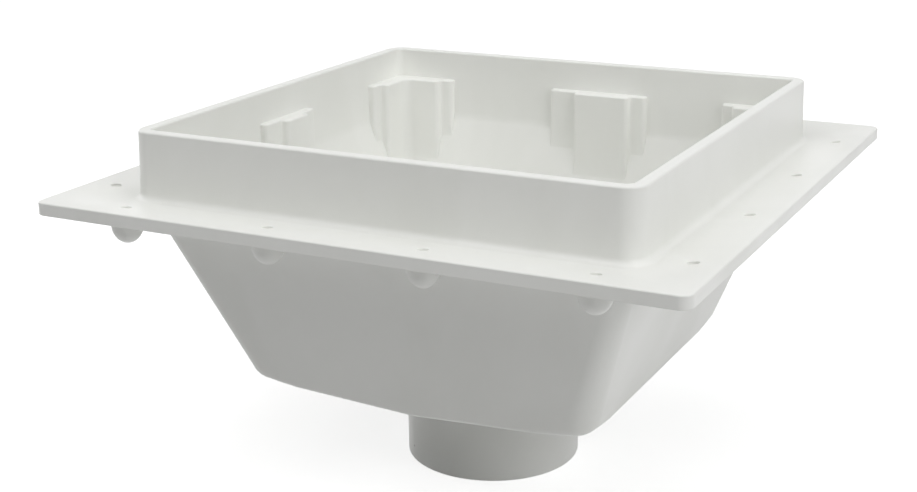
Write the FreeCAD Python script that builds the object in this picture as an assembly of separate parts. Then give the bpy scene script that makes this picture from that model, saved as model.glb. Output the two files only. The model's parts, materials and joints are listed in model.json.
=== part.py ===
import FreeCAD, Part
import os
from math import cos, radians, sqrt, tan

# A square floor sink moulded in one piece: collar, recessed flange with screw bosses, tapered basin
# with a V floor, and a round outlet. Millimetres, +Z up, origin at the middle of the outlet's end.

# Collar, the part that stands above the flange
RIM_SIDE = 320.7
RIM_WALL = 7.95
RIM_CHAMFER = 1.2
COLLAR_HEIGHT = 42.1
COLLAR_CORNER = 12.7
COLLAR_DRAFT = radians(1.2)

# Flange, a shallow tray round the collar with a raised border
FLANGE_REACH = 41.3
FLANGE_CORNER = 7.0
FLANGE_PLATE = 3.9
BORDER_WIDTH = 8.0
BORDER_HEIGHT = 4.0
BORDER_CHAMFER = 1.0

# Screw bosses under the flange, four along each side
BOSSES_PER_SIDE = 4
BOSS_PITCH = 97.8
BOSS_INSET = 17.1
BOSS_DIAMETER = 19.05
BOSS_LENGTH = 14.5
BOSS_DOME_OVERSIZE = 1.475
PILOT_DIAMETER = 6.35
PILOT_DEPTH = 1.5

# Basin, a square tub that tapers to a floor with a shallow valley along Y
BASIN_INSET = 4.2
BASIN_DEPTH = 126.4
BASIN_TAPER = radians(19.35)
BASIN_WALL = 4.76
BASIN_CORNER = 12.5
FLOOR_EDGE_ROUND = 6.0
FLOOR_FALL = radians(3.5)

# Outlet, a plain spigot for a drain pipe
OUTLET_DIAMETER = 114.3
OUTLET_WALL = 6.0
OUTLET_LENGTH = 63.6
OUTLET_COVE = 2.0

# Grate rests inside the collar: a plinth on the wall with a deeper rib on it, both flat on top
REST_DROP = 20.4
PLINTH_PROUD = 6.0
RIB_PROUD = 12.0
REST_ROUND = 2.5
SIDE_PLINTH = 59.0
SIDE_RIB = 26.0
SIDE_REST_SHIFT = -7.5
END_PLINTH = 73.0
END_RIB = 41.0
END_PLINTH_SHIFT = 12.3
END_RIB_SHIFT = 17.2
CORNER_PLINTH_LEG = 48.0
CORNER_RIB_LEG = 39.0
CORNER_HOLLOW_ROUND = 7.0

# Levels, widths and a radius that follow from the sizes above
VALLEY = OUTLET_LENGTH
UNDERSIDE = VALLEY + BASIN_DEPTH
FLANGE_FLOOR = UNDERSIDE + FLANGE_PLATE
BORDER_TOP = FLANGE_FLOOR + BORDER_HEIGHT
RIM = FLANGE_FLOOR + COLLAR_HEIGHT
REST_TOP = RIM - REST_DROP
FLANGE_HALF = RIM_SIDE / 2 + FLANGE_REACH
RIM_INSIDE_HALF = RIM_SIDE / 2 - RIM_WALL
BORDER_RUN = FLANGE_REACH - BORDER_WIDTH
SCREW_LEVEL = BORDER_TOP - BORDER_HEIGHT * (BOSS_INSET - BORDER_WIDTH) / BORDER_RUN
BOSS_DOME_RADIUS = BOSS_DIAMETER / 2 + BOSS_DOME_OVERSIZE

# How far a cut runs past the face that it opens
OVERLAP = 1.0

ORIGIN = FreeCAD.Vector(0, 0, 0)
X_AXIS = FreeCAD.Vector(1, 0, 0)
UP = FreeCAD.Vector(0, 0, 1)


def collar_half(level):
    """Half the collar's outside width at a level: the draft widens it downwards."""
    return RIM_SIDE / 2 + (RIM - level) * tan(COLLAR_DRAFT)


def collar_inside_half(level):
    """Half the collar's inside width at a level: the draft narrows it downwards."""
    return RIM_INSIDE_HALF - (RIM - level) * tan(COLLAR_DRAFT)


def basin_half(level, depth_in_wall=0.0):
    """Half the basin's width at a level, on a surface that lies some depth inside the outer one."""
    top_half = collar_half(FLANGE_FLOOR) - BASIN_INSET
    return top_half - (UNDERSIDE - level) * tan(BASIN_TAPER) - depth_in_wall / cos(BASIN_TAPER)


def shoulder_level():
    """Level inside, where the collar's wall meets the basin's tapered wall."""
    slope_gap = tan(BASIN_TAPER) - tan(COLLAR_DRAFT)
    return RIM + (collar_inside_half(RIM) - basin_half(RIM, BASIN_WALL)) / slope_gap


def outline(corners, level=0.0):
    """Closed wire through corners (x, y, radius) in plan, each corner rounded by a tangent arc."""
    points = [FreeCAD.Vector(x, y, level) for x, y, radius in corners]
    arcs = []
    for index, point in enumerate(points):
        radius = corners[index][2]
        back = (points[index - 1] - point).normalize()
        ahead = (points[(index + 1) % len(points)] - point).normalize()
        half_angle = back.getAngle(ahead) / 2
        reach = radius / tan(half_angle)
        to_centre = (back + ahead).normalize()
        centre = point + to_centre * sqrt(reach ** 2 + radius ** 2)
        arcs.append((point + back * reach, centre - to_centre * radius, point + ahead * reach))
    edges = []
    for index, (start, middle, end) in enumerate(arcs):
        if corners[index][2] > 0:
            edges.append(Part.Arc(start, middle, end).toShape())
        edges.append(Part.LineSegment(end, arcs[(index + 1) % len(arcs)][0]).toShape())
    return Part.Wire(edges)


def square(half, radius, level):
    """Wire of a square with rounded corners, centred on the axis."""
    signs = ((1, 1), (-1, 1), (-1, -1), (1, -1))
    return outline([(x * half, y * half, radius) for x, y in signs], level)


def prism(wire, height):
    """Upright solid on a flat wire."""
    return Part.Face(wire).extrude(UP * height)


def frustum(low, low_half, top, top_half):
    """Square solid between two levels, with flat tapered walls."""
    solid = Part.makeWedge(-low_half, low, -low_half, -top_half, -top_half,
                           low_half, top, low_half, top_half, top_half)
    solid.rotate(ORIGIN, X_AXIS, 90)
    return solid


def collar_form(low, low_half, top, top_half, corner):
    """Square frustum with a rounding down each corner."""
    solid = frustum(low, low_half, top, top_half)
    slanted = [edge for edge in solid.Edges if edge.BoundBox.ZLength > (top - low) / 2]
    return solid.makeFillet(corner, slanted)


def square_edges(shape, level, half):
    """Edges of the square loop that lies at a level, half its width from the axis."""
    found = []
    for edge in shape.Edges:
        ends = [vertex.Point for vertex in edge.Vertexes]
        flat = all(abs(end.z - level) < 0.01 for end in ends)
        if flat and all(abs(max(abs(end.x), abs(end.y)) - half) < 0.01 for end in ends):
            found.append(edge)
    return found


def basin_form(depth_in_wall, top):
    """Solid tub up to a level: tapered walls and a floor that falls to a valley, all its edges rounded."""
    low = VALLEY - OVERLAP
    tub = frustum(low, basin_half(low, depth_in_wall), top, basin_half(top, depth_in_wall))
    reach = RIM_SIDE
    valley = VALLEY + depth_in_wall / cos(FLOOR_FALL)
    side = valley + reach * tan(FLOOR_FALL)
    section = outline([(reach, side, 0), (reach, RIM + reach, 0), (-reach, RIM + reach, 0),
                       (-reach, side, 0), (0, valley, 0)])
    section.rotate(ORIGIN, X_AXIS, 90)
    section.translate(FreeCAD.Vector(0, reach, 0))
    tub = tub.common(Part.Face(section).extrude(FreeCAD.Vector(0, -2 * reach, 0)))

    corners = [edge for edge in tub.Edges if edge.BoundBox.ZLength > BASIN_DEPTH / 2]
    tub = tub.makeFillet(BASIN_CORNER - depth_in_wall, corners)

    def around_floor(edge):
        box = edge.BoundBox
        along_valley = box.XLength < 0.01 and abs(box.Center.x) < 0.01
        return box.ZMax < VALLEY + BASIN_DEPTH / 2 and not along_valley

    floor_round = max(FLOOR_EDGE_ROUND - depth_in_wall, depth_in_wall / 4)
    return tub.makeFillet(floor_round, [edge for edge in tub.Edges if around_floor(edge)])


def flange_form():
    """Flange: a plate with rounded corners whose top falls from a flat border to the collar's foot."""
    plate = prism(square(FLANGE_HALF, FLANGE_CORNER, UNDERSIDE), FLANGE_PLATE + BORDER_HEIGHT)
    foot = RIM_SIDE / 2
    reach = foot + BORDER_RUN * (BORDER_HEIGHT + OVERLAP) / BORDER_HEIGHT
    plate = plate.cut(frustum(FLANGE_FLOOR, foot, BORDER_TOP + OVERLAP, reach))
    return plate.makeChamfer(BORDER_CHAMFER, square_edges(plate, BORDER_TOP, FLANGE_HALF))


def boss_places():
    """Plan positions of the screw bosses: a row along each side of the flange."""
    line = FLANGE_HALF - BOSS_INSET
    middle = (BOSSES_PER_SIDE - 1) / 2
    along = [(index - middle) * BOSS_PITCH for index in range(BOSSES_PER_SIDE)]
    rows = [[(line, step), (-line, step), (step, line), (step, -line)] for step in along]
    return [place for row in rows for place in row]


def boss_form(place):
    """Round boss hanging from the flange, turned from a profile with a domed end."""
    radius = BOSS_DIAMETER / 2
    tip = UNDERSIDE - BOSS_LENGTH
    dome_centre = tip + BOSS_DOME_RADIUS
    dome_edge = dome_centre - sqrt(BOSS_DOME_RADIUS ** 2 - radius ** 2)
    dome_middle = dome_centre - sqrt(BOSS_DOME_RADIUS ** 2 - (radius / 2) ** 2)
    root = UNDERSIDE + FLANGE_PLATE / 2

    def point(reach, level):
        return FreeCAD.Vector(place[0] + reach, place[1], level)

    profile = Part.Wire([
        Part.makeLine(point(0, root), point(radius, root)),
        Part.makeLine(point(radius, root), point(radius, dome_edge)),
        Part.Arc(point(radius, dome_edge), point(radius / 2, dome_middle), point(0, tip)).toShape(),
        Part.makeLine(point(0, tip), point(0, root)),
    ])
    return Part.Face(profile).revolve(point(0, root), UP, 360)


def pilot_form(place):
    """Shallow round dimple in the flange's top, where a screw is started into the boss below."""
    start = FreeCAD.Vector(place[0], place[1], SCREW_LEVEL - PILOT_DEPTH)
    return Part.makeCylinder(PILOT_DIAMETER / 2, PILOT_DEPTH + OVERLAP, start)


def rest_prism(corners):
    """Upright pad with a flat top, running down until the tapered wall swallows it."""
    foot = UNDERSIDE - RIB_PROUD / tan(BASIN_TAPER) - BASIN_DEPTH / 4
    return prism(outline(corners, foot), REST_TOP - foot)


def wall_rest(width, shift, proud, quarter_turns):
    """Pad on the middle of one wall; the turn count picks the wall, starting from +Y."""
    face = RIM_INSIDE_HALF - proud
    hidden = RIM_INSIDE_HALF + RIM_WALL / 2
    left = shift - width / 2
    right = shift + width / 2
    pad = rest_prism([(right, hidden, 0), (left, hidden, 0),
                      (left, face, REST_ROUND), (right, face, REST_ROUND)])
    pad.rotate(ORIGIN, UP, 90 * quarter_turns)
    return pad


def corner_rest(leg, proud, quarter_turns):
    """L-shaped pad in one corner, with a leg along each wall; the turn count picks the corner."""
    face = RIM_INSIDE_HALF - proud
    hidden = RIM_INSIDE_HALF + RIM_WALL / 2
    end = RIM_INSIDE_HALF - leg
    pad = rest_prism([(hidden, hidden, 0), (end, hidden, 0), (end, face, REST_ROUND),
                      (face, face, CORNER_HOLLOW_ROUND), (face, end, REST_ROUND), (hidden, end, 0)])
    pad.rotate(ORIGIN, UP, 90 * quarter_turns)
    return pad


def grate_rests():
    """All grate rests: one on each wall, the facing ones mirrored, and one in each corner."""
    pads = []
    end_pads = ((END_PLINTH, END_PLINTH_SHIFT, PLINTH_PROUD), (END_RIB, END_RIB_SHIFT, RIB_PROUD))
    side_pads = ((SIDE_PLINTH, SIDE_REST_SHIFT, PLINTH_PROUD), (SIDE_RIB, SIDE_REST_SHIFT, RIB_PROUD))
    for turns, wall_pads in enumerate((end_pads, side_pads)):
        for width, shift, proud in wall_pads:
            pads.append(wall_rest(width, shift, proud, turns))
            pads.append(wall_rest(width, -shift, proud, turns + 2))
    for turns in range(4):
        pads.append(corner_rest(CORNER_PLINTH_LEG, PLINTH_PROUD, turns))
        pads.append(corner_rest(CORNER_RIB_LEG, RIB_PROUD, turns))
    return pads


def outlet_form():
    """Round spigot that widens at its root, from one level all round, into the basin's sloping floor."""
    radius = OUTLET_DIAMETER / 2
    cove_foot = VALLEY - OUTLET_COVE
    cove_rise = OUTLET_COVE + radius * tan(FLOOR_FALL) + BASIN_WALL / 2
    cove = Part.makeCone(radius, radius + cove_rise, cove_rise, UP * cove_foot)
    return Part.makeCylinder(radius, cove_foot).fuse(cove)


def outer_form():
    """Outside of the sink as one solid, before it is hollowed."""
    collar_foot = FLANGE_FLOOR - FLANGE_PLATE / 2
    collar = collar_form(collar_foot, collar_half(collar_foot), RIM, collar_half(RIM), COLLAR_CORNER)
    top = flange_form().fuse(collar).removeSplitter()
    tub = top.fuse(basin_form(0.0, collar_foot)).removeSplitter()
    return tub.fuse([outlet_form()] + [boss_form(place) for place in boss_places()]).removeSplitter()


def inner_form():
    """Space inside the sink: collar, basin and outlet bore, with the grate rests left standing."""
    shoulder = shoulder_level()
    top = RIM + OVERLAP
    inside_corner = COLLAR_CORNER - RIM_WALL
    collar = collar_form(shoulder, collar_inside_half(shoulder), top, collar_inside_half(top), inside_corner)
    bore_radius = OUTLET_DIAMETER / 2 - OUTLET_WALL
    bore_top = VALLEY + BASIN_WALL / cos(FLOOR_FALL) + bore_radius * tan(FLOOR_FALL)
    bore = Part.makeCylinder(bore_radius, bore_top + 2 * OVERLAP, UP * -OVERLAP)
    return basin_form(BASIN_WALL, shoulder).fuse([bore, collar]).cut(grate_rests())


def sink_body():
    """The whole sink: outside less inside, with its pilot dimples and a chamfered rim."""
    body = outer_form().cut([inner_form()] + [pilot_form(place) for place in boss_places()])
    body = body.removeSplitter()
    rim = square_edges(body, RIM, RIM_SIDE / 2) + square_edges(body, RIM, RIM_INSIDE_HALF)
    return body.makeChamfer(RIM_CHAMFER, rim)


os.makedirs("parts", exist_ok=True)
sink = sink_body()
sink.exportStep("parts/sink_body.step")
box = sink.BoundBox
print("solids", len(sink.Solids), "valid", sink.isValid(), "volume cm3", round(sink.Volume / 1000, 1))
print("size", round(box.XLength, 2), round(box.YLength, 2), round(box.ZLength, 2))
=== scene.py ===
"""Looks of a square floor sink moulded in one piece: its surfaces, its finish and the studio round it.

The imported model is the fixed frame, and everything is in its metres: +Z up, origin at the middle of the
outlet's end.
"""
import json
from math import cos, radians, sin, tan

import bpy
import numpy as np
from bpy.props import FloatProperty, FloatVectorProperty, PointerProperty
from bpy.types import Operator, Panel, PropertyGroup
from mathutils import Matrix, Vector


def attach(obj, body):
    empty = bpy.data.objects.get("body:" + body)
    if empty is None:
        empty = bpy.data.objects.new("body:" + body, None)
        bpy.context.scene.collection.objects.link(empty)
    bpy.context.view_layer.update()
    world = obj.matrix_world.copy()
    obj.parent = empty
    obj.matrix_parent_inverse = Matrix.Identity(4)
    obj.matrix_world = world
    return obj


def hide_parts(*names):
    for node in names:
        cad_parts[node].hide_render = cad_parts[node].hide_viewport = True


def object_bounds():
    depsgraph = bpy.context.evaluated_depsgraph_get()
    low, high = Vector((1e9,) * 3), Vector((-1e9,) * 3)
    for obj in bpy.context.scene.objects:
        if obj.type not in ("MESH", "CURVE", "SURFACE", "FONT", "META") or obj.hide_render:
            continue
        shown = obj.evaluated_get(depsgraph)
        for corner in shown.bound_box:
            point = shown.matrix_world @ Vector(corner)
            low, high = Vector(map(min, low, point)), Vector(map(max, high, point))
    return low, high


bl_info = {
    "name": "Moulded floor sink",
    "version": (1, 0, 0),
    "blender": (4, 5, 0),
    "location": "3D View > Sidebar > Floor sink",
    "description": "Builds a square floor sink, moulded in one piece, with its finish and a plain studio",
    "category": "Object",
}

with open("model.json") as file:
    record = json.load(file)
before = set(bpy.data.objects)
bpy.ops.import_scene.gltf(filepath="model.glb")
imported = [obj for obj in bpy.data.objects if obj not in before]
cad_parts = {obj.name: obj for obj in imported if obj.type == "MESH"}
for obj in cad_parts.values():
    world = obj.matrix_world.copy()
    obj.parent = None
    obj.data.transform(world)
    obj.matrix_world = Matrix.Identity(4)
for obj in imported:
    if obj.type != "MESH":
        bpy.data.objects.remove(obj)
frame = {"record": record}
CAD_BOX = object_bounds()
MOUNTS = {mount["name"]: mount for mount in frame["record"]["mounts"]}
SCREWS = MOUNTS["flange_screws_side_inner"]["dims"]
MM = 0.001
LONGEST_ROUND = 0.45  # share of a run that the round at one of its ends may take
DOME_SWEEP = 0.97 * np.pi / 2  # a boss's end stops short of its pole, where a small flat face closes it


def length(name, description, default):
    """A length in metres that a user may change."""
    return FloatProperty(name=name, description=description, default=default, unit="LENGTH", precision=5)


def angle(name, description, degrees):
    """An angle that a user may change, given in degrees and kept in radians."""
    return FloatProperty(name=name, description=description, default=radians(degrees), subtype="ANGLE")


def colour(name, description, default):
    """A linear colour that a user may change."""
    return FloatVectorProperty(name=name, description=description, default=default, min=0.0, max=1.0,
                               size=3, subtype="COLOR")


class SinkShellSizes(PropertyGroup):
    """Sizes of the moulded shell."""

    rim_level: length("Rim level", "Height of the collar's rim above the outlet's end", CAD_BOX[1].z)
    rim_side: length("Rim side", "Outside width of the collar at its rim", 320.7 * MM)
    rim_wall: length("Rim wall", "Thickness of the collar at its rim", 7.95 * MM)
    rim_round: length("Rim round", "Radius of the rim's two edges", 1.4 * MM)
    collar_corner: length("Collar corner", "Outside radius of the collar's corners", 12.7 * MM)
    collar_draft: angle("Collar draft", "Lean of the collar's walls, which lets it leave the mould", 1.2)
    collar_cove: length("Collar cove", "Radius in the corner between collar and flange", 4.0 * MM)
    flange_level: length("Flange level", "Height of the flange's top at the collar's foot", 193.9 * MM)
    flange_side: length("Flange side", "Outside width of the flange", CAD_BOX[1].x - CAD_BOX[0].x)
    flange_corner: length("Flange corner", "Outside radius of the flange's corners", 7.0 * MM)
    flange_foot_round: length("Flange foot round", "Radius of the flange's lower edge", 0.6 * MM)
    flange_plate: length("Flange plate", "Thickness of the flange at the collar's foot", 3.9 * MM)
    border_width: length("Border width", "Width of the flat border round the flange", 8.0 * MM)
    border_height: length("Border height", "Rise of the border over the flange's top at the collar", 4.0 * MM)
    border_round: length("Border round", "Radius of the border's outer edge", 1.0 * MM)
    dish_round: length("Dish round", "Radius where the border turns down towards the collar", 60.0 * MM)
    basin_inset: length("Basin inset", "Step from the collar's foot in to the basin's top", 4.2 * MM)
    basin_taper: angle("Basin taper", "Lean of the basin's walls", 19.35)
    basin_wall: length("Basin wall", "Thickness of the basin's walls and floor", 4.76 * MM)
    basin_corner: length("Basin corner", "Outside radius of the basin's corners", 12.5 * MM)
    floor_edge: length("Floor edge", "Outside radius along the edge of the basin's floor", 6.0 * MM)
    floor_corner: length("Floor corner", "Outside radius of that edge where it turns a corner", 13.0 * MM)
    floor_run: length("Floor run", "Length of side over which the one radius grows into the other", 14.0 * MM)
    basin_cove: length("Basin cove", "Radius in the corner between basin and flange", 3.0 * MM)
    shoulder_round: length("Shoulder round", "Radius inside, where collar turns into basin", 20.0 * MM)
    floor_fall: angle("Floor fall", "Slope of the basin's floor down to its valley", 3.5)
    outlet_radius: length("Outlet radius", "Outside radius of the outlet",
                          MOUNTS["outlet_spigot"]["dims"]["r_mm"] * MM)
    outlet_wall: length("Outlet wall", "Thickness of the outlet", 6.0 * MM)
    outlet_length: length("Outlet length", "Length of the outlet up to the floor's valley", 63.6 * MM)
    outlet_cove: length("Outlet cove", "Radius between outlet and floor", 3.0 * MM)
    outlet_end_round: length("Outlet end round", "Radius of the outlet's end edges", 1.2 * MM)


class SinkBossSizes(PropertyGroup):
    """Sizes of the screw bosses under the flange and of the pilot dimples over them."""

    pitch: length("Pitch", "Spacing of the bosses along a side", SCREWS["spacing_y_mm"] * MM)
    line: length("Line", "Distance of a row of bosses from the middle", SCREWS["spacing_x_mm"] / 2 * MM)
    radius: length("Boss radius", "Radius of a boss", 9.525 * MM)
    hang: length("Hang", "Length of a boss below the flange", 14.5 * MM)
    dome: length("Dome", "Height of a boss's rounded end", 11.5 * MM)
    root: length("Root round", "Radius where a boss leaves the flange", 1.2 * MM)
    pilot_radius: length("Pilot radius", "Radius of a pilot dimple", SCREWS["hole_r_mm"] * MM)
    pilot_depth: length("Pilot depth", "Depth of a pilot dimple", 1.5 * MM)
    pilot_lip: length("Pilot lip", "Radius of a pilot dimple's mouth", 0.35 * MM)
    cell: length("Cell", "Half width of the patch of flange that carries a boss", 12.0 * MM)


class SinkRestSizes(PropertyGroup):
    """Sizes of the grate rests inside the collar."""

    level: length("Rest level", "Height of the rests' flat tops", MOUNTS["grate_rest"]["pos_m"][2])
    plinth_proud: length("Plinth proud", "How far a plinth stands out of the wall", 6.0 * MM)
    rib_proud: length("Rib proud", "How far a rib stands out of the wall", 12.0 * MM)
    corner: length("Corner round", "Radius of the rests' upright edges", 3.0 * MM)
    edge: length("Edge round", "Radius of the rests' top edges", 1.4 * MM)
    side_plinth: length("Side plinth", "Width of the plinths on the side walls", 59.0 * MM)
    side_rib: length("Side rib", "Width of the ribs on the side walls", 26.0 * MM)
    side_shift: length("Side shift", "Shift of the side rests along their wall", -7.5 * MM)
    end_plinth: length("End plinth", "Width of the plinths on the end walls", 73.0 * MM)
    end_plinth_shift: length("End plinth shift", "Shift of the end plinths along their wall", 12.3 * MM)
    end_rib: length("End rib", "Width of the ribs on the end walls", 41.0 * MM)
    end_rib_shift: length("End rib shift", "Shift of the end ribs along their wall", 17.2 * MM)
    corner_plinth: length("Corner plinth", "Length of a corner plinth along each wall", 48.0 * MM)
    corner_rib: length("Corner rib", "Length of a corner rib along each wall", 39.0 * MM)
    corner_hollow: length("Corner hollow", "Radius in the hollow of a corner rest", 7.0 * MM)


class SinkFinish(PropertyGroup):
    """Colour and surface of the rigid plastic."""

    plastic: colour("Plastic", "Colour of the moulded plastic", (0.925, 0.93, 0.9))
    flow_tint: colour("Flow tint", "Colour of the faint clouds where the melt cooled", (0.9, 0.906, 0.872))
    # This colour serves the fine dust specks and also the painted shade down the pilot dimples.
    speck_and_shade: colour("Speck", "Colour of fine dust specks", (0.52, 0.51, 0.47))
    gloss_rough: FloatProperty(name="Roughness, glossy", description="Roughness of the smoothest patches",
                               default=0.34, min=0.0, max=1.0, subtype="FACTOR")
    matt_rough: FloatProperty(name="Roughness, matt", description="Roughness of the dullest patches",
                              default=0.46, min=0.0, max=1.0, subtype="FACTOR")
    peel: length("Peel", "Size of the soft waves that the mould leaves", 6.0 * MM)
    grain: length("Grain", "Size of the fine mould grain", 0.7 * MM)
    relief: length("Relief", "Height of waves and grain together", 0.05 * MM)


class SinkStudio(PropertyGroup):
    """Camera, lamps and floor."""

    camera_place: FloatVectorProperty(name="Camera place", description="Where the camera stands",
                                      default=(0.4190, -0.8641, 0.4361), size=3, subtype="TRANSLATION")
    camera_azimuth: angle("Azimuth", "Camera's turn about the object, from the front to its right", 27.19)
    camera_elevation: angle("Elevation", "Camera's height above the horizon", 17.08)
    camera_roll: angle("Roll", "Camera's turn about its line of sight", -0.65)
    focal: FloatProperty(name="Focal length", description="Focal length on a 36 mm sensor", default=60.52,
                         subtype="DISTANCE_CAMERA")
    floor_colour: colour("Floor", "Colour of the floor", (0.7, 0.7, 0.7))
    right_power: FloatProperty(name="Right lamp", description="Power of the soft lamp on the right",
                               default=12.6, min=0.0, unit="POWER")
    top_power: FloatProperty(name="Top lamp", description="Power of the soft lamp overhead",
                             default=11.7, min=0.0, unit="POWER")
    front_power: FloatProperty(name="Front lamp", description="Power of the soft lamp at the front",
                               default=9.8, min=0.0, unit="POWER")
    left_power: FloatProperty(name="Left lamp", description="Power of the soft lamp on the left",
                              default=8.2, min=0.0, unit="POWER")
    surround: FloatProperty(name="Surround", description="Strength of the even light from all round",
                            default=0.0, min=0.0)


def round_corners(corners, bends, steps):
    """Closed outlines with every corner rounded.

    The last two axes hold the corners and their (x, y), counter-clockwise round the solid. An arc leaves
    each run at bend / tan(half the corner's angle), at most 45 % of the run, and its outward normal swings
    evenly from one run's to the next: start + turn * radius * (normal - first normal), where turn is 1 on
    an outside corner and -1 in an inside one. Gives the points and their normals, steps to a corner.
    """
    to_last = np.roll(corners, 1, axis=-2) - corners
    to_next = np.roll(corners, -1, axis=-2) - corners
    last_run = np.linalg.norm(to_last, axis=-1, keepdims=True)
    next_run = np.linalg.norm(to_next, axis=-1, keepdims=True)
    to_last, to_next = to_last / last_run, to_next / next_run
    half_angle = np.arccos(np.clip((to_last * to_next).sum(axis=-1, keepdims=True), -1, 1)) / 2
    longest = LONGEST_ROUND * np.minimum(last_run, next_run)
    reach = np.minimum(bends[..., None] / np.tan(half_angle), longest)
    turn = np.sign(to_last[..., 1:] * to_next[..., :1] - to_last[..., :1] * to_next[..., 1:])
    first = np.stack([-to_last[..., 1], to_last[..., 0]], axis=-1)[..., None, :]
    final = np.stack([to_next[..., 1], -to_next[..., 0]], axis=-1)[..., None, :]
    swing = (np.pi - 2 * half_angle)[..., None, :]
    share = np.linspace(0, 1, steps)[:, None]
    normals = (np.sin((1 - share) * swing) * first + np.sin(share * swing) * final) / np.sin(swing)
    start = (corners + to_last * reach)[..., None, :]
    points = start + (turn * reach * np.tan(half_angle))[..., None, :] * (normals - first)
    shape = corners.shape[:-2] + (-1, 2)
    return points.reshape(shape), normals.reshape(shape)


def grid_quads(rows, columns, closed):
    """Quads of a grid whose columns run round a loop, as (row, column, corner) vertex numbers.

    With columns counter-clockwise and rows upwards they face outwards. A closed grid joins its last row
    to its first.
    """
    row = np.arange(rows if closed else rows - 1)[:, None]
    column = np.arange(columns)[None, :]
    next_row, next_column = (row + 1) % rows, (column + 1) % columns
    return np.stack([row * columns + column, row * columns + next_column,
                     next_row * columns + next_column, next_row * columns + column], axis=-1)


def new_piece(context, name, points, blocks):
    """A smooth object at the origin, from points and blocks of faces with one corner count each.

    It stands for the CAD body, rides on it and wears the plastic. Its shading follows its larger faces,
    so that flats stay flat beside small rounds.
    """
    corners = np.concatenate([block.ravel() for block in blocks])
    counts = np.concatenate([np.full(len(block), block.shape[1]) for block in blocks])
    mesh = bpy.data.meshes.new(name)
    mesh.vertices.add(len(points))
    mesh.vertices.foreach_set("co", points.astype(np.float32).ravel())
    mesh.loops.add(len(corners))
    mesh.loops.foreach_set("vertex_index", corners.astype(np.int32))
    mesh.polygons.add(len(counts))
    mesh.polygons.foreach_set("loop_start", (np.cumsum(counts) - counts).astype(np.int32))
    mesh.update(calc_edges=True)
    if mesh.validate():
        raise RuntimeError(f"{name} has broken faces")
    mesh.shade_smooth()
    mesh.materials.append(rigid_plastic(context.scene.sink_finish))
    piece = bpy.data.objects.new(name, mesh)
    context.scene.collection.objects.link(piece)
    piece.modifiers.new("flats_first", "WEIGHTED_NORMAL")
    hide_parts("sink_body")
    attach(piece, "root")
    return piece


def collar_foot(sizes):
    """Half the collar's outside width at the flange: its rim's, and what the draft adds on the way down."""
    return sizes.rim_side / 2 + (sizes.rim_level - sizes.flange_level) * tan(sizes.collar_draft)


def flange_underside(sizes):
    """Height of the flange's flat underside."""
    return sizes.flange_level - sizes.flange_plate


def level_wall(sizes):
    """Thickness of the basin's leaning wall, measured level."""
    return sizes.basin_wall / cos(sizes.basin_taper)


def basin_half(sizes, level):
    """Half the basin's outside width: its top, inset from the collar's foot, less the taper to a level."""
    drop = flange_underside(sizes) - level
    return collar_foot(sizes) - sizes.basin_inset - drop * tan(sizes.basin_taper)


def inside_half(sizes, level):
    """Half the inside width: the lesser of the collar's, which narrows by its draft, and the basin's."""
    collar = sizes.rim_side / 2 - sizes.rim_wall - (sizes.rim_level - level) * tan(sizes.collar_draft)
    return np.minimum(collar, basin_half(sizes, level) - level_wall(sizes))


def dish_slope(sizes):
    """Fall of the flange's top for each metre from its border in to the collar."""
    return sizes.border_height / (sizes.flange_side / 2 - sizes.border_width - sizes.rim_side / 2)


def dish_level(sizes, half):
    """Height of the flange's sloping top at a distance from the middle."""
    return sizes.flange_level + (half - sizes.rim_side / 2) * dish_slope(sizes)


def loop_columns(fractions, corner_steps):
    """Anchors and directions that make a rounded square: (half - radius) * anchor + radius * direction.

    One side runs up +X at the given fractions of its straight part, then a quarter turns its corner, where
    the anchor stays at (1, 1). Three quarter turns of that side make the rest.
    """
    swing = np.linspace(0, np.pi / 2, corner_steps)
    anchor = np.concatenate([np.stack([np.ones_like(fractions), fractions], axis=-1),
                             np.ones((corner_steps, 2))])
    direction = np.concatenate([np.tile([1.0, 0.0], (len(fractions), 1)),
                                np.stack([np.cos(swing), np.sin(swing)], axis=-1)])
    turns = np.array([[[1, 0], [0, 1]], [[0, 1], [-1, 0]], [[-1, 0], [0, -1]], [[0, -1], [1, 0]]], float)
    return (anchor @ turns).reshape(-1, 2), (direction @ turns).reshape(-1, 2)


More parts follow.
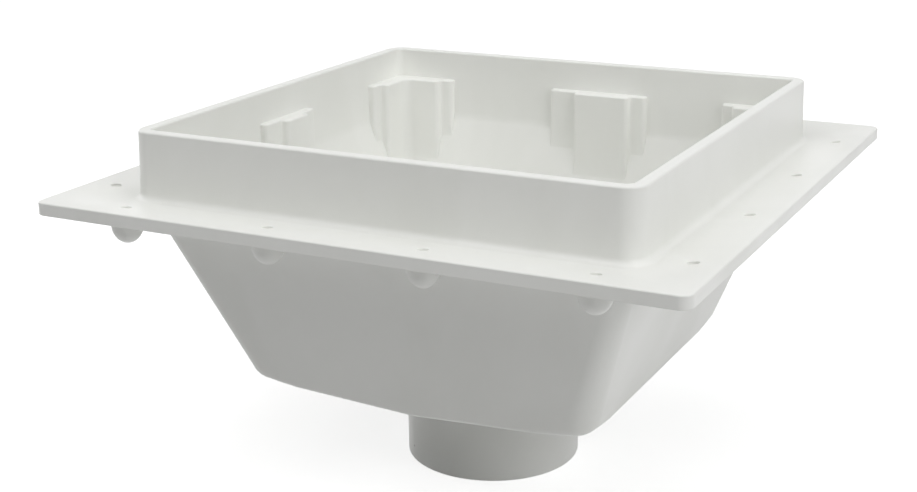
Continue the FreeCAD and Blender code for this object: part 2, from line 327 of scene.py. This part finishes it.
def wall_section(sizes, bosses, floor_edge, steps):
    """Stations down the wall's closed section, each a rounded square carried round the sink.

    The section's corners run counter-clockwise: up the outside from the outlet's end, over the rim and
    down the inside. Each row of the result has half width, level, half width less corner radius, share of
    the floor's fall, lean and roundness. The floor's edge takes the given radius outside, and less a wall
    inside. Between the rounded corners, two rows on each face of the flange frame the bosses and the pilot
    dimples.
    """
    half_flange, rim_half, foot = sizes.flange_side / 2, sizes.rim_side / 2, collar_foot(sizes)
    underside, border_top = flange_underside(sizes), sizes.flange_level + sizes.border_height
    lean, draft = tan(sizes.basin_taper), tan(sizes.collar_draft)
    inside_rim = rim_half - sizes.rim_wall
    inside_line = basin_half(sizes, sizes.rim_level) - level_wall(sizes)
    shoulder = sizes.rim_level - (inside_line - inside_rim) / (lean - draft)
    shoulder_in = (sizes.rim_level - shoulder) * draft
    bore = sizes.outlet_radius - sizes.outlet_wall
    flange_spread = half_flange - sizes.flange_corner
    spread = bosses.line - bosses.cell - sizes.flange_corner / 2
    collar_spread = rim_half - sizes.collar_corner
    floor_half, top_half = basin_half(sizes, sizes.outlet_length), basin_half(sizes, underside)
    inner_floor = sizes.outlet_length + sizes.basin_wall / cos(sizes.floor_fall)
    inner_half = float(inside_half(sizes, inner_floor))
    inner_corner = sizes.basin_corner - sizes.basin_wall
    inner_edge = max(floor_edge - sizes.basin_wall, sizes.basin_wall / 4)
    corners = np.array([
        (bore, 0, 0, 0, 0, 1, sizes.outlet_end_round / 2),
        (sizes.outlet_radius, 0, 0, 0, 0, 1, sizes.outlet_end_round),
        (sizes.outlet_radius, sizes.outlet_length, 0, 1, 0, 1, sizes.outlet_cove),
        (floor_half, sizes.outlet_length, floor_half - sizes.basin_corner, 1, lean, 0, floor_edge),
        (top_half, underside, top_half - sizes.basin_corner, 0, lean, 0, sizes.basin_cove),
        (half_flange, underside, flange_spread, 0, 0, 0, sizes.flange_foot_round),
        (half_flange, border_top, flange_spread, 0, 0, 0, sizes.border_round),
        (half_flange - sizes.border_width, border_top, spread, 0, 0, 0, sizes.dish_round),
        (foot, dish_level(sizes, foot), foot - sizes.collar_corner, 0, 0, 0, sizes.collar_cove),
        (rim_half, sizes.rim_level, collar_spread, 0, 0, 0, sizes.rim_round),
        (inside_rim, sizes.rim_level, collar_spread, 0, 0, 0, sizes.rim_round),
        (inside_rim - shoulder_in, shoulder, collar_spread - shoulder_in, 0, lean, 0, sizes.shoulder_round),
        (inner_half, inner_floor, inner_half - inner_corner, 1, lean, 0, inner_edge),
        (bore, inner_floor, 0, 1, 0, 1, sizes.outlet_cove),
    ])
    outline = round_corners(corners[:, :2], corners[:, 6], steps)[0]
    stations = np.hstack([outline, np.repeat(corners[:, 2:6], steps, axis=0)])
    lip = 1.5 * bosses.pilot_radius
    outer_lip, inner_lip = bosses.line + lip, bosses.line - lip
    frames = np.array([
        (bosses.line - bosses.cell, underside, spread, 0, 0, 0),
        (bosses.line + bosses.cell, underside, spread, 0, 0, 0),
        (outer_lip, dish_level(sizes, outer_lip), spread, 0, 0, 0),
        (inner_lip, dish_level(sizes, inner_lip), spread, 0, 0, 0),
    ])
    # One pair of rows comes after the fifth corner, and the other after the eighth.
    under_row, floor_row = 5 * steps, 8 * steps + 2
    stations = np.insert(stations, [under_row, under_row, floor_row - 2, floor_row - 2], frames, axis=0)
    return stations, under_row, floor_row, spread


def shell_points(sizes, stations, anchor, direction):
    """Points of the shell, (station, column, xyz), from stations that may differ from column to column.

    Each station is (half - radius) * anchor + radius * direction. A round one points its columns along
    the spokes through the floor's edge instead. The floor's fall lifts a point by tan(fall) * |x|, and
    lean moves it out by as much as the tapered wall does over that lift.
    """
    half, level, spread, fall, lean, roundness = np.moveaxis(stations, -1, 0)[..., None]
    edge_half = basin_half(sizes, sizes.outlet_length)
    spokes = (edge_half - sizes.basin_corner) * anchor + sizes.basin_corner * direction
    spokes = spokes / np.linalg.norm(spokes, axis=-1, keepdims=True)
    aim = (1 - roundness) * direction + roundness * spokes
    plan = spread * anchor + (half - spread) * aim
    lift = fall * tan(sizes.floor_fall) * np.abs(plan[..., :1])
    on_side = np.abs(direction) > 0.999
    plan = plan + lean * lift * ((1 - roundness) * np.where(on_side, direction, anchor))
    return np.concatenate([plan, level + lift], axis=-1)


def turned_rings(profile, places, count, slope):
    """A profile of (radius, level) turned about an upright axis at each place: (place, ring, point, xyz).

    The first of the count points lies at -135 degrees, towards a patch's first corner. Levels rise by the
    slope with distance from the middle, along the nearest axis.
    """
    swing = np.linspace(0, 2 * np.pi, count, endpoint=False) - 0.75 * np.pi
    circle = np.stack([np.cos(swing), np.sin(swing)], axis=-1)
    plan = places[:, None, None, :] + profile[None, :, :1, None] * circle[None, None]
    outward = np.sign(places) * (np.abs(places) >= np.abs(places).max(axis=-1, keepdims=True))
    rise = slope * ((plan - places[:, None, None, :]) * outward[:, None, None, :]).sum(axis=-1)
    return np.concatenate([plan, (profile[None, :, 1, None] + rise)[..., None]], axis=-1)


def pilot_profile(sizes, bosses):
    """Down a pilot dimple: a quarter round at its mouth, a straight wall, a quarter round at its foot."""
    quarter = np.linspace(0, np.pi / 2, 5)
    top = dish_level(sizes, bosses.line)
    bottom = top - bosses.pilot_depth
    foot = bosses.pilot_depth / 3
    mouth = np.stack([bosses.pilot_radius + bosses.pilot_lip * (1 - np.sin(quarter)),
                      top - bosses.pilot_lip * (1 - np.cos(quarter))], axis=-1)
    heel = np.stack([bosses.pilot_radius - foot * (1 - np.cos(quarter)),
                     bottom + foot * (1 - np.sin(quarter))], axis=-1)
    return np.concatenate([mouth, heel])


def boss_profile(sizes, bosses):
    """Down a boss: a quarter round at its root, its straight side, and half an ellipse as its end."""
    quarter = np.linspace(0, np.pi / 2, 6)
    underside = flange_underside(sizes)
    shoulder = underside - bosses.hang + bosses.dome
    sweep = np.linspace(0, DOME_SWEEP, 13)
    root = np.stack([bosses.radius + bosses.root * (1 - np.sin(quarter)),
                     underside - bosses.root * (1 - np.cos(quarter))], axis=-1)
    end = np.stack([bosses.radius * np.cos(sweep), shoulder - bosses.dome * np.sin(sweep)], axis=-1)
    end[-1, 1] = underside - bosses.hang
    return np.concatenate([root, end])


def patch_faces(corners, centres, plan, ring_start, count):
    """Four faces that join each patch's corners to the circle in it, counter-clockwise seen from above.

    A face runs along one side of the patch, then back along that quarter of the circle.
    """
    offset = plan[corners] - centres[:, None, :]
    order = np.argsort(np.arctan2(offset[..., 1], offset[..., 0]), axis=-1)
    corners = np.take_along_axis(corners, order, axis=-1)
    quarter = count // 4
    back = (np.arange(1, 5)[:, None] * quarter - np.arange(quarter + 1)[None, :]) % count
    circle = ring_start[:, None, None] + back[None]
    sides = np.stack([corners, np.roll(corners, -1, axis=-1)], axis=-1)
    return np.concatenate([sides, circle], axis=-1).reshape(-1, quarter + 3)


class SINK_OT_moulded_shell(Operator):
    """Builds the shell: outlet, basin, flange with bosses and pilot dimples, and collar, as one surface"""

    bl_idname = "sink.moulded_shell"
    bl_label = "Moulded shell"
    corner_steps = 12
    bend_steps = 9
    ring_points = 32
    gap_points = (4, 5, 4)

    def execute(self, context):
        sizes, bosses = context.scene.sink_shell, context.scene.sink_bosses
        straight, under_row, floor_row, spread = wall_section(
            sizes, bosses, sizes.floor_edge, self.bend_steps)
        turned = wall_section(sizes, bosses, sizes.floor_corner, self.bend_steps)[0]
        along = np.array([-1.5, -0.5, 0.5, 1.5]) * bosses.pitch
        frames = np.stack([along - bosses.cell, along + bosses.cell], axis=-1).ravel()
        gaps = zip(frames[1:-1:2], frames[2::2], self.gap_points)
        between = np.concatenate([np.linspace(*gap)[1:-1] for gap in gaps])
        fractions = np.sort(np.concatenate([frames, between])) / spread
        anchor, direction = loop_columns(fractions, self.corner_steps)
        side = basin_half(sizes, sizes.outlet_length) - sizes.basin_corner
        near = np.clip(1 - side * (1 - np.abs(anchor).min(axis=-1)) / sizes.floor_run, 0, 1)
        share = (near * near * (3 - 2 * near))[None, :, None]
        stations = (1 - share) * straight[:, None] + share * turned[:, None]
        grid = shell_points(sizes, stations, anchor, direction)
        rows, columns = grid.shape[:2]
        quads = grid_quads(rows, columns, closed=True)

        slack = 1e-6
        first = np.searchsorted(fractions, (along - bosses.cell) / spread - slack)
        cells = (np.arange(4)[:, None] * (columns // 4) + first[None, :]).ravel()
        kept = np.ones((rows, columns), bool)
        kept[under_row, cells] = kept[floor_row, cells] = False
        under_cells, floor_cells = quads[under_row, cells], quads[floor_row, cells]
        points = grid.reshape(-1, 3)
        centres = points[floor_cells, :2].mean(axis=1)

        count = self.ring_points
        pilots = turned_rings(pilot_profile(sizes, bosses), centres, count, dish_slope(sizes))
        domes = turned_rings(boss_profile(sizes, bosses), centres, count, 0.0)
        pilot_start = len(points) + np.arange(len(centres)) * pilots[0, ..., 0].size
        dome_start = len(points) + pilots[..., 0].size + np.arange(len(centres)) * domes[0, ..., 0].size
        pilot_quads = grid_quads(pilots.shape[1], count, closed=False).reshape(-1, 4)
        dome_quads = grid_quads(domes.shape[1], count, closed=False).reshape(-1, 4)[:, ::-1]
        ring = np.arange(count)
        blocks = [
            quads[kept],
            patch_faces(floor_cells, centres, points[:, :2], pilot_start, count),
            patch_faces(under_cells, centres, points[:, :2], dome_start, count)[:, ::-1],
            (pilot_start[:, None, None] + pilot_quads).reshape(-1, 4),
            (dome_start[:, None, None] + dome_quads).reshape(-1, 4),
            pilot_start[:, None] + (pilots.shape[1] - 1) * count + ring,
            dome_start[:, None] + (domes.shape[1] - 1) * count + ring[::-1],
        ]
        points = np.concatenate([points, pilots.reshape(-1, 3), domes.reshape(-1, 3)])
        shell = new_piece(context, "moulded_shell", points, blocks)
        # Painted shade down the pilot dimples, darker with depth: none at a mouth, and most in the middle.
        dust = np.zeros(len(points))
        depth = np.linspace(0, 1, pilots.shape[1])[None, :, None]
        dust[pilot_start[0]:dome_start[0]] = np.broadcast_to(depth, pilots.shape[:-1]).ravel()
        shell.data.attributes.new("dust", "FLOAT", "POINT").data.foreach_set("value", dust)
        return {"FINISHED"}


def rest_levels(sizes, rests, steps):
    """Levels up a rest with its outline's inset there: straight sides, then a quarter round at the top.

    Its foot, with one row close above it, lies under the level where the tapered wall has swallowed the rib.
    """
    rib_face = sizes.rim_side / 2 - sizes.rim_wall - rests.rib_proud
    wall = basin_half(sizes, sizes.flange_level) - level_wall(sizes)
    swallowed = sizes.flange_level - (wall - rib_face) / tan(sizes.basin_taper)
    foot, lowest, straight = swallowed - 8.0 * MM, swallowed - 4.0 * MM, rests.level - rests.edge
    rows = 9
    quarter = np.linspace(0, np.pi / 2, steps)
    sides = np.linspace(lowest, straight, rows)[:-1]
    levels = np.concatenate([[foot], sides, straight + rests.edge * np.sin(quarter)])
    inset = np.concatenate([np.zeros(rows), rests.edge * (1 - np.cos(quarter))])
    return levels, inset


def rest_surface(outline, bends, levels, inset, turns, steps):
    """One rest: its rounded outline at every level, drawn in by the inset, turned to its wall.

    The outline is (level, corner, xy). Gives points and faces: the sides and a cap at each end.
    """
    plan, normals = round_corners(outline, bends, steps)
    plan = plan - inset[:, None, None] * normals
    quarter = np.array([[0, 1], [-1, 0]])
    plan = plan @ np.linalg.matrix_power(quarter, turns)
    level = np.broadcast_to(levels[:, None, None], plan.shape[:-1] + (1,))
    points = np.concatenate([plan, level], axis=-1)
    rows, columns = points.shape[:2]
    ring = np.arange(columns)[None, :]
    caps = np.concatenate([ring[:, ::-1], (rows - 1) * columns + ring])
    return points.reshape(-1, 3), grid_quads(rows, columns, closed=False).reshape(-1, 4), caps


class SINK_OT_grate_rests(Operator):
    """Builds the grate rests: a plinth with a deeper rib on each wall and in each corner of the collar"""

    bl_idname = "sink.grate_rests"
    bl_label = "Grate rests"
    edge_steps = 6
    bend_steps = 7
    back_depth, plinth_depth, rib_depth = 2.0 * MM, 1.4 * MM, 0.8 * MM

    def execute(self, context):
        sizes, rests = context.scene.sink_shell, context.scene.sink_rests
        levels, inset = rest_levels(sizes, rests, self.edge_steps)
        wall = inside_half(sizes, levels)
        inside_rim = sizes.rim_side / 2 - sizes.rim_wall
        # The back lies in the wall, and so do the faces below the level where the wall swallows them.
        back = wall + self.back_depth
        plinth = np.minimum(inside_rim - rests.plinth_proud, wall + self.plinth_depth)
        rib = np.minimum(inside_rim - rests.rib_proud, wall + self.rib_depth)
        inner_corner = sizes.collar_corner - sizes.rim_wall
        hidden = 1.5 * rests.edge

        def corners(*places):
            """The outline at every level, from corner places that may change with the level."""
            spread = [np.broadcast_arrays(x, y, levels)[:2] for x, y in places]
            return np.stack([np.stack(place, axis=-1) for place in spread], axis=1)

        def wall_rest(plinth_width, plinth_shift, rib_width, rib_shift, turns):
            """A plinth with its rib in front of it, on one wall."""
            left, right = plinth_shift - plinth_width / 2, plinth_shift + plinth_width / 2
            rib_left, rib_right = rib_shift - rib_width / 2, rib_shift + rib_width / 2
            outline = corners((left, plinth), (rib_left, plinth), (rib_left, rib), (rib_right, rib),
                              (rib_right, plinth), (right, plinth), (right, back), (left, back))
            bends = np.array([rests.corner, rests.corner / 2, rests.corner, rests.corner,
                              rests.corner / 2, rests.corner, hidden, hidden])
            return rest_surface(outline, bends, levels, inset, turns, self.bend_steps)

        def corner_rest(turns):
            """A plinth and its rib, each with a leg along both walls of one corner."""
            plinth_end, rib_end = inside_rim - rests.corner_plinth, inside_rim - rests.corner_rib
            outline = corners((plinth_end, plinth), (rib_end, plinth), (rib_end, rib), (rib, rib),
                              (rib, rib_end), (plinth, rib_end), (plinth, plinth_end), (back, plinth_end),
                              (back, back), (plinth_end, back))
            bends = np.array([rests.corner, rests.corner / 2, rests.corner, rests.corner_hollow, rests.corner,
                              rests.corner / 2, rests.corner, hidden, inner_corner + self.back_depth, hidden])
            return rest_surface(outline, bends, levels, inset, turns, self.bend_steps)

        ends = (rests.end_plinth, rests.end_plinth_shift, rests.end_rib, rests.end_rib_shift)
        sides = (rests.side_plinth, rests.side_shift, rests.side_rib, rests.side_shift)
        mirrored = ((ends[0], -ends[1], ends[2], -ends[3]), (sides[0], -sides[1], sides[2], -sides[3]))
        surfaces = [wall_rest(*rest, turns) for turns, rest in enumerate((ends, sides) + mirrored)]
        surfaces += [corner_rest(turns) for turns in range(4)]
        points, quads, caps = zip(*surfaces)
        starts = np.cumsum([0] + [len(rest) for rest in points])
        blocks = [faces + start for start, *both in zip(starts, quads, caps) for faces in both]
        new_piece(context, "grate_rests", np.concatenate(points), blocks)
        return {"FINISHED"}


def add_node(tree, kind, inputs=None, **settings):
    """A node with its settings made, and its inputs set or linked."""
    node = tree.nodes.new(kind)
    for name, value in settings.items():
        setattr(node, name, value)
    for name, value in (inputs or {}).items():
        if isinstance(value, bpy.types.NodeSocket):
            tree.links.new(value, node.inputs[name])
        else:
            node.inputs[name].default_value = value
    return node


def node_group(name, inputs, outputs):
    """An empty shader node group with named sockets, and its two end nodes."""
    tree = bpy.data.node_groups.new(name, "ShaderNodeTree")
    for socket, kind in inputs:
        tree.interface.new_socket(socket, in_out="INPUT", socket_type=kind)
    for socket, kind in outputs:
        tree.interface.new_socket(socket, in_out="OUTPUT", socket_type=kind)
    return tree, tree.nodes.new("NodeGroupInput").outputs, tree.nodes.new("NodeGroupOutput").inputs


def mould_grain():
    """Surface that a polished mould leaves: soft waves, and on them a fine grain, as one height."""
    tree, given, result = node_group(
        "mould_grain",
        [("Vector", "NodeSocketVector"), ("Waves", "NodeSocketFloat"), ("Grain", "NodeSocketFloat")],
        [("Height", "NodeSocketFloat")])
    waves = add_node(tree, "ShaderNodeTexNoise",
                     {"Vector": given["Vector"], "Scale": given["Waves"], "Detail": 2.0, "Roughness": 0.45})
    grain = add_node(tree, "ShaderNodeTexNoise",
                     {"Vector": given["Vector"], "Scale": given["Grain"], "Detail": 3.0, "Roughness": 0.6})
    both = add_node(tree, "ShaderNodeMix",
                    {"Factor": 0.3, "A": waves.outputs["Fac"], "B": grain.outputs["Fac"]})
    tree.links.new(both.outputs["Result"], result["Height"])
    return tree


def melt_clouds():
    """Faint clouds and streaks of tint and dullness where the melt cooled, stretched along the flow."""
    tree, given, result = node_group(
        "melt_clouds",
        [("Vector", "NodeSocketVector"), ("Plastic", "NodeSocketColor"), ("Tint", "NodeSocketColor")],
        [("Color", "NodeSocketColor"), ("Dullness", "NodeSocketFloat")])
    stretched = add_node(tree, "ShaderNodeMapping", {"Vector": given["Vector"], "Scale": (1.0, 1.0, 0.45)})
    clouds = add_node(tree, "ShaderNodeTexNoise", {"Vector": stretched.outputs["Vector"], "Scale": 14.0,
                                                   "Detail": 5.0, "Roughness": 0.55, "Distortion": 0.6})
    haze = add_node(tree, "ShaderNodeMapRange", {"Value": clouds.outputs["Fac"], "From Min": 0.35,
                                                 "From Max": 0.68}, interpolation_type="SMOOTHSTEP")
    tinted = add_node(tree, "ShaderNodeMix", {"Factor": haze.outputs["Result"]}, data_type="RGBA")
    tree.links.new(given["Plastic"], tinted.inputs["A"])
    tree.links.new(given["Tint"], tinted.inputs["B"])
    rubbed = add_node(tree, "ShaderNodeTexNoise", {"Vector": given["Vector"], "Scale": 60.0, "Detail": 4.0,
                                                   "Roughness": 0.6})
    dullness = add_node(tree, "ShaderNodeMath", {0: haze.outputs["Result"], 1: rubbed.outputs["Fac"]},
                        operation="MULTIPLY")
    tree.links.new(tinted.outputs["Result"], result["Color"])
    tree.links.new(dullness.outputs["Value"], result["Dullness"])
    return tree


def dust_specks():
    """Mask of sparse small specks: the middles of a few cells of a scattered pattern."""
    tree, given, result = node_group(
        "dust_specks",
        [("Vector", "NodeSocketVector"), ("Scale", "NodeSocketFloat")],
        [("Mask", "NodeSocketFloat")])
    cells = add_node(tree, "ShaderNodeTexVoronoi", {"Vector": given["Vector"], "Scale": given["Scale"]})
    middle = add_node(tree, "ShaderNodeMapRange", {"Value": cells.outputs["Distance"], "From Min": 0.035,
                                                   "From Max": 0.06, "To Min": 1.0, "To Max": 0.0})
    lone = add_node(tree, "ShaderNodeSeparateColor", {"Color": cells.outputs["Color"]})
    bare_share = 0.97
    few = add_node(tree, "ShaderNodeMath", {0: lone.outputs["Red"], 1: bare_share}, operation="GREATER_THAN")
    mask = add_node(tree, "ShaderNodeMath", {0: middle.outputs["Result"], 1: few.outputs["Value"]},
                    operation="MULTIPLY")
    tree.links.new(mask.outputs["Value"], result["Mask"])
    return tree


def rigid_plastic(finish):
    """Satin white rigid plastic: melt clouds in colour and gloss, mould grain in relief, a few specks, and
    some painted shade.

    A point attribute of the mesh says where shade is painted: down the pilot dimples, darker towards their
    bottoms.
    """
    name = "white_rigid_plastic"
    if name in bpy.data.materials:
        return bpy.data.materials[name]
    material = bpy.data.materials.new(name)
    material.use_nodes = True
    tree = material.node_tree
    shader = tree.nodes["Principled BSDF"]
    place = add_node(tree, "ShaderNodeTexCoord").outputs["Object"]
    clouds = add_node(tree, "ShaderNodeGroup", node_tree=melt_clouds())
    tree.links.new(place, clouds.inputs["Vector"])
    clouds.inputs["Plastic"].default_value = (*finish.plastic, 1.0)
    clouds.inputs["Tint"].default_value = (*finish.flow_tint, 1.0)
    specks = add_node(tree, "ShaderNodeGroup", node_tree=dust_specks())
    tree.links.new(place, specks.inputs["Vector"])
    specks.inputs["Scale"].default_value = 55.0
    # Painted shade: the mesh's attribute darkens the pilot dimples towards their bottoms, in the specks'
    # colour, mixed with the real specks.
    dimple_shade = add_node(tree, "ShaderNodeAttribute", attribute_name="dust").outputs["Fac"]
    deepest_shade = 0.35
    painted_shade = add_node(tree, "ShaderNodeMath", {0: dimple_shade, 1: deepest_shade}, operation="MULTIPLY")
    dust = add_node(tree, "ShaderNodeMath", {0: specks.outputs["Mask"], 1: painted_shade.outputs["Value"]},
                    operation="MAXIMUM")
    specked_and_shaded = add_node(tree, "ShaderNodeMix", {"Factor": dust.outputs["Value"]}, data_type="RGBA")
    tree.links.new(clouds.outputs["Color"], specked_and_shaded.inputs["A"])
    specked_and_shaded.inputs["B"].default_value = (*finish.speck_and_shade, 1.0)
    tree.links.new(specked_and_shaded.outputs["Result"], shader.inputs["Base Color"])
    rough = add_node(tree, "ShaderNodeMapRange", {"Value": clouds.outputs["Dullness"], "From Max": 0.6,
                                                  "To Min": finish.gloss_rough, "To Max": finish.matt_rough})
    tree.links.new(rough.outputs["Result"], shader.inputs["Roughness"])
    grain = add_node(tree, "ShaderNodeGroup", node_tree=mould_grain())
    tree.links.new(place, grain.inputs["Vector"])
    grain.inputs["Waves"].default_value = 1 / finish.peel
    grain.inputs["Grain"].default_value = 1 / finish.grain
    bump = add_node(tree, "ShaderNodeBump", {"Strength": 0.35, "Distance": finish.relief,
                                             "Height": grain.outputs["Height"]})
    tree.links.new(bump.outputs["Normal"], shader.inputs["Normal"])
    shader.inputs["IOR"].default_value = 1.53
    return material


def seen_directly(tree):
    """1 for rays from the camera, a reflection or through glass, and 0 for light that falls on things."""
    path = add_node(tree, "ShaderNodeLightPath").outputs
    glossy = add_node(tree, "ShaderNodeMath", {0: path["Is Camera Ray"], 1: path["Is Glossy Ray"]},
                      operation="MAXIMUM")
    return add_node(tree, "ShaderNodeMath", {0: glossy.outputs["Value"], 1: path["Is Transmission Ray"]},
                    operation="MAXIMUM").outputs["Value"]


def soft_lamp(context, name, place, aim, size, power):
    """A square area lamp at a place, turned towards a point."""
    lamp = bpy.data.lights.new(name, "AREA")
    lamp.shape, lamp.size, lamp.energy = "SQUARE", size, power
    holder = bpy.data.objects.new(name, lamp)
    holder.location = place
    holder.rotation_euler = (Vector(aim) - Vector(place)).to_track_quat("-Z", "Y").to_euler()
    context.scene.collection.objects.link(holder)


def studio_floor(context, studio):
    """A flat pale floor: it takes the object's shadow, and where it is seen it fades to white."""
    half_width = 8.0
    near, far, near_white, far_white = 0.3, 1.0, 0.7, 1.0
    x, y = np.meshgrid((-half_width, half_width), (-half_width, half_width))
    mesh = bpy.data.meshes.new("studio_floor")
    mesh.from_pydata(np.stack([x, y, np.zeros_like(x)], axis=-1).reshape(-1, 3).tolist(), [], [(0, 1, 3, 2)])
    floor = bpy.data.objects.new("studio_floor", mesh)
    context.scene.collection.objects.link(floor)
    material = bpy.data.materials.new("studio_floor")
    material.use_nodes = True
    tree = material.node_tree
    tree.nodes.remove(tree.nodes["Principled BSDF"])
    matt = add_node(tree, "ShaderNodeBsdfDiffuse")
    matt.inputs["Color"].default_value = (*studio.floor_colour, 1.0)
    place = add_node(tree, "ShaderNodeTexCoord").outputs["Object"]
    distance = add_node(tree, "ShaderNodeVectorMath", {0: place}, operation="LENGTH")
    white = add_node(tree, "ShaderNodeMapRange",
                     {"Value": distance.outputs["Value"], "From Min": near, "From Max": far,
                      "To Min": near_white, "To Max": far_white}, interpolation_type="SMOOTHSTEP")
    glow = add_node(tree, "ShaderNodeEmission",
                    {"Color": white.outputs["Result"], "Strength": seen_directly(tree)})
    both = add_node(tree, "ShaderNodeAddShader", {0: matt.outputs["BSDF"], 1: glow.outputs["Emission"]})
    tree.links.new(both.outputs["Shader"], tree.nodes["Material Output"].inputs["Surface"])
    mesh.materials.append(material)


def studio_world(context, studio):
    """Even light from all round, white where it is seen directly."""
    world = bpy.data.worlds.new("studio_world")
    world.use_nodes = True
    tree = world.node_tree
    light = tree.nodes["Background"]
    light.inputs["Color"].default_value = (1.0, 1.0, 1.0, 1.0)
    light.inputs["Strength"].default_value = studio.surround
    white = add_node(tree, "ShaderNodeBackground", {"Color": (1.0, 1.0, 1.0, 1.0), "Strength": 1.0})
    mixed = add_node(tree, "ShaderNodeMixShader", {0: seen_directly(tree), 1: light.outputs["Background"],
                                                   2: white.outputs["Background"]})
    tree.links.new(mixed.outputs["Shader"], tree.nodes["World Output"].inputs["Surface"])
    context.scene.world = world


def studio_camera(context, studio):
    """The camera: its axes are the line of sight's back, a level right and their up, then rolled."""
    turn, rise, roll = studio.camera_azimuth, studio.camera_elevation, studio.camera_roll
    back = Vector((sin(turn) * cos(rise), -cos(turn) * cos(rise), sin(rise)))
    right = Vector((cos(turn), sin(turn), 0.0))
    up = back.cross(right)
    axes = Matrix((right * cos(roll) + up * sin(roll), up * cos(roll) - right * sin(roll), back)).transposed()
    lens = bpy.data.cameras.new("studio_camera")
    lens.sensor_width, lens.lens = 36.0, studio.focal
    camera = bpy.data.objects.new("studio_camera", lens)
    camera.matrix_world = Matrix.Translation(studio.camera_place) @ axes.to_4x4()
    context.scene.collection.objects.link(camera)
    context.scene.camera = camera


class SINK_OT_studio(Operator):
    """Builds the studio: a pale floor, soft lamps, an even surround and the camera"""

    bl_idname = "sink.studio"
    bl_label = "Studio"
    middle = (0.0, 0.0, 0.15)
    lamps = {  # name: place and width
        "right": ((1.5, -0.5, 1.0), 1.2),
        "top": ((0.2, 0.3, 1.8), 1.4),
        "front": ((-0.4, -0.9, 1.6), 1.2),
        "left": ((-1.8, 0.2, 0.9), 1.2),
    }

    def execute(self, context):
        studio = context.scene.sink_studio
        for name, (place, width) in self.lamps.items():
            soft_lamp(context, f"{name}_lamp", place, self.middle, width, getattr(studio, f"{name}_power"))
        studio_floor(context, studio)
        studio_world(context, studio)
        studio_camera(context, studio)
        context.scene.view_settings.view_transform = "Standard"
        return {"FINISHED"}


class SINK_PT_builder(Panel):
    """Sizes, finish and studio of the floor sink, with a button for each part"""

    bl_label = "Floor sink"
    bl_space_type = "VIEW_3D"
    bl_region_type = "UI"
    bl_category = "Floor sink"

    def draw(self, context):
        scene = context.scene
        parts = ((SINK_OT_moulded_shell, (scene.sink_shell, scene.sink_bosses)),
                 (SINK_OT_grate_rests, (scene.sink_rests, scene.sink_finish)),
                 (SINK_OT_studio, (scene.sink_studio,)))
        for operator, groups in parts:
            box = self.layout.box()
            box.operator(operator.bl_idname)
            for group in groups:
                for name in group.__annotations__:
                    box.prop(group, name)


GROUPS = {"sink_shell": SinkShellSizes, "sink_bosses": SinkBossSizes, "sink_rests": SinkRestSizes,
          "sink_finish": SinkFinish, "sink_studio": SinkStudio}
TOOLS = (SINK_OT_moulded_shell, SINK_OT_grate_rests, SINK_OT_studio, SINK_PT_builder)


def register():
    """Registers the classes and gives each scene its property groups."""
    for name, group in GROUPS.items():
        bpy.utils.register_class(group)
        setattr(bpy.types.Scene, name, PointerProperty(type=group))
    for tool in TOOLS:
        bpy.utils.register_class(tool)


def unregister():
    """Takes away what register added."""
    for tool in reversed(TOOLS):
        bpy.utils.unregister_class(tool)
    for name, group in reversed(GROUPS.items()):
        delattr(bpy.types.Scene, name)
        bpy.utils.unregister_class(group)


def main():
    """Builds the sink and its studio."""
    register()
    bpy.ops.sink.moulded_shell()
    bpy.ops.sink.grate_rests()
    bpy.ops.sink.studio()


if __name__ == "__main__":
    main()
